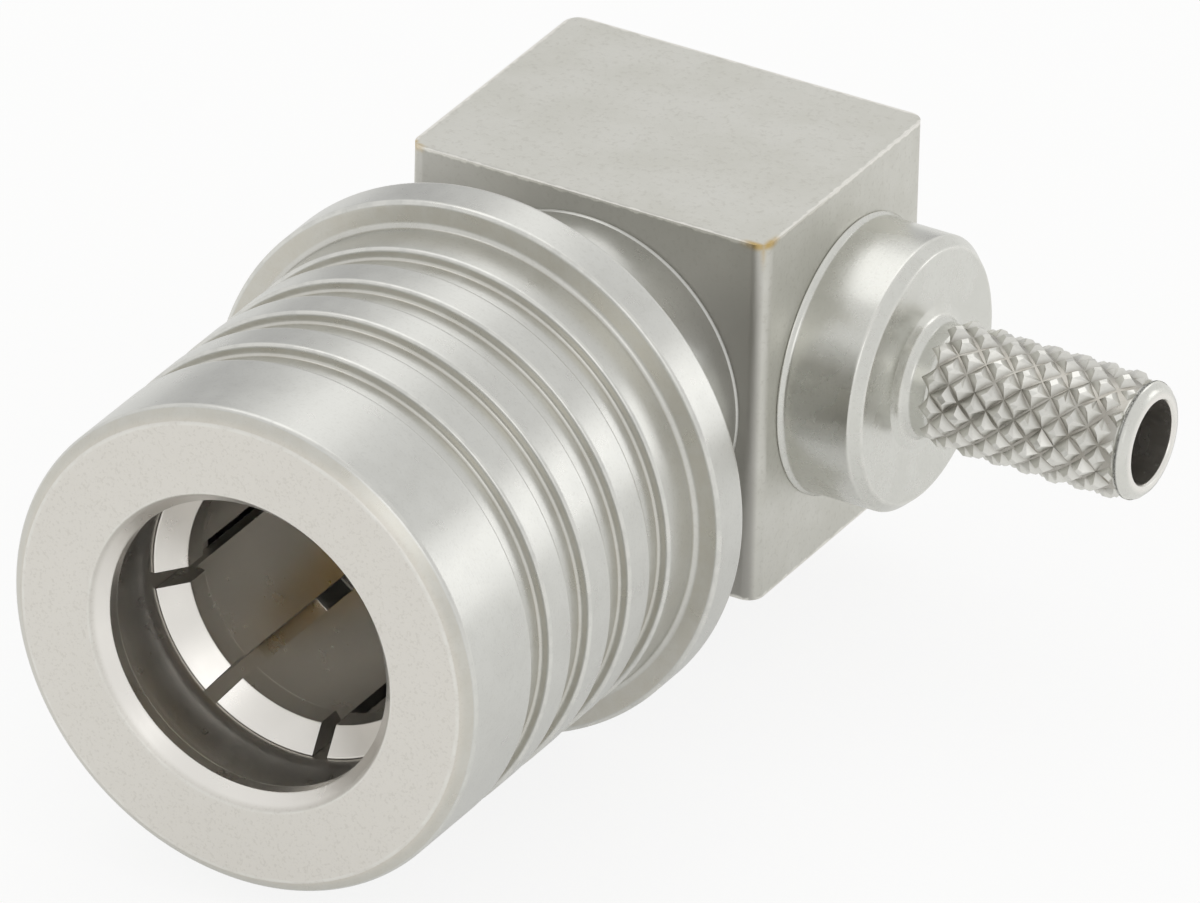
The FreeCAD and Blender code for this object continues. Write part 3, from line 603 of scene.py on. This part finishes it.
def make_floor():
    """White table. For the camera it is nearly white by itself, and keeps the plug's soft shadow."""
    mesh = bpy.data.meshes.new("floor")
    reach = 0.6
    mesh.from_pydata([(-reach, -reach, FLOOR_Z * MM), (reach, -reach, FLOOR_Z * MM),
                      (reach, reach, FLOOR_Z * MM), (-reach, reach, FLOOR_Z * MM)], [], [(0, 1, 2, 3)])
    floor = link_object("floor", mesh)
    material = bpy.data.materials.new("White table")
    material.use_nodes = True
    tree = material.node_tree
    tree.nodes.clear()
    paths = add(tree, "ShaderNodeLightPath").outputs
    mirrored = figure(tree, "MAXIMUM", paths["Is Glossy Ray"], paths["Is Transmission Ray"])
    white_share = figure(tree, "ADD", figure(tree, "MULTIPLY", paths["Is Camera Ray"], 0.85),
                         figure(tree, "MULTIPLY", mirrored, 0.4))
    matt = add(tree, "ShaderNodeBsdfDiffuse", {"Color": linear("F4F4F2")}).outputs[0]
    white = add(tree, "ShaderNodeEmission", {"Color": (1, 1, 1, 1), "Strength": 1.0}).outputs[0]
    mixed = add(tree, "ShaderNodeMixShader", {0: white_share, 1: matt, 2: white})
    add(tree, "ShaderNodeOutputMaterial", {"Surface": mixed.outputs[0]})
    mesh.materials.append(material)


def make_world():
    """Light tent: white for the camera, pale cloth for everything else, with a fold in shade at the back left."""
    world = bpy.data.worlds.new("Light tent")
    bpy.context.scene.world = world
    world.use_nodes = True
    tree = world.node_tree
    tree.nodes.clear()
    paths = add(tree, "ShaderNodeLightPath").outputs
    direction = add(tree, "ShaderNodeTexCoord").outputs["Generated"]
    towards_fold = add(tree, "ShaderNodeVectorMath", {0: direction, 1: (-0.56, 0.82, 0.1)},
                       operation="DOT_PRODUCT").outputs["Value"]
    cloth = blend(tree, ramp(tree, towards_fold, 0.9, 0.985), linear("EDEDEC"), linear("C4C4C4"))
    colour = blend(tree, paths["Is Camera Ray"], cloth, linear("FFFFFF"))
    light = add(tree, "ShaderNodeBackground", {"Color": colour, "Strength": 1.0})
    add(tree, "ShaderNodeOutputWorld", {"Surface": light.outputs[0]})


def soft_box(name, direction, long_way, wide_mm, high_mm, away_mm, glow):
    """A soft box that faces the plug from a direction, its wide side along long_way. A glow of 1 is as bright
    as white cloth in full light."""
    lamp = bpy.data.lights.new(name, "AREA")
    lamp.shape, lamp.size, lamp.size_y = "RECTANGLE", wide_mm * MM, high_mm * MM
    lamp.energy = glow * math.pi * lamp.size * lamp.size_y
    made = bpy.data.objects.new(name, lamp)
    bpy.context.scene.collection.objects.link(made)
    made.visible_camera = False
    back = Vector(direction).normalized()
    across = (Vector(long_way) - back * back.dot(Vector(long_way))).normalized()
    turn = Matrix((across, back.cross(across), back)).transposed().to_4x4()
    made.matrix_world = Matrix.Translation(back * away_mm * MM) @ turn


# The camera as fitted to the photograph: angles in degrees, lengths in millimetres, focal length in
# pixels of the 1200-pixel-wide image.
IMAGE_WIDTH, FOCAL_PIXELS, SENSOR = 1200, 21090.2, 36.0
AZIMUTH, ELEVATION, ROLL, DISTANCE = 29.128, 29.006, 1.561, 367.462
AIM, AIM_RIGHT, AIM_UP = Vector((0, -2.0, 0)), 2.201, 0.249


def make_camera():
    azimuth, elevation, roll = (math.radians(angle) for angle in (AZIMUTH, ELEVATION, ROLL))
    back = Vector((math.sin(azimuth) * math.cos(elevation), -math.cos(azimuth) * math.cos(elevation),
                   math.sin(elevation)))
    right = Vector((math.cos(azimuth), math.sin(azimuth), 0))
    up = back.cross(right)
    place = (AIM + right * AIM_RIGHT + up * AIM_UP + back * DISTANCE) * MM
    across = right * math.cos(roll) + up * math.sin(roll)
    upward = up * math.cos(roll) - right * math.sin(roll)
    camera = bpy.data.cameras.new("camera")
    camera.sensor_width = SENSOR
    camera.lens = FOCAL_PIXELS / IMAGE_WIDTH * SENSOR
    camera.clip_start, camera.clip_end = 0.01, 10
    made = bpy.data.objects.new("camera", camera)
    bpy.context.scene.collection.objects.link(made)
    turn = Matrix((across, upward, back)).transposed().to_4x4()
    made.matrix_world = Matrix.Translation(place) @ turn
    bpy.context.scene.camera = made


make_floor()
make_world()
soft_box("overhead", (-0.31, 0.33, 0.89), (0.33, 0.8, -0.26), 256, 105, 210, 0.55)
soft_box("behind right", (0.63, 0.76, 0.13), (0.77, -0.63, 0.0), 60, 110, 220, 0.9)
soft_box("beside the camera", (0.43, -0.76, 0.49), (0.87, 0.49, 0.0), 120, 120, 260, 0.6)
make_camera()
bpy.context.scene.view_settings.view_transform = "Standard"
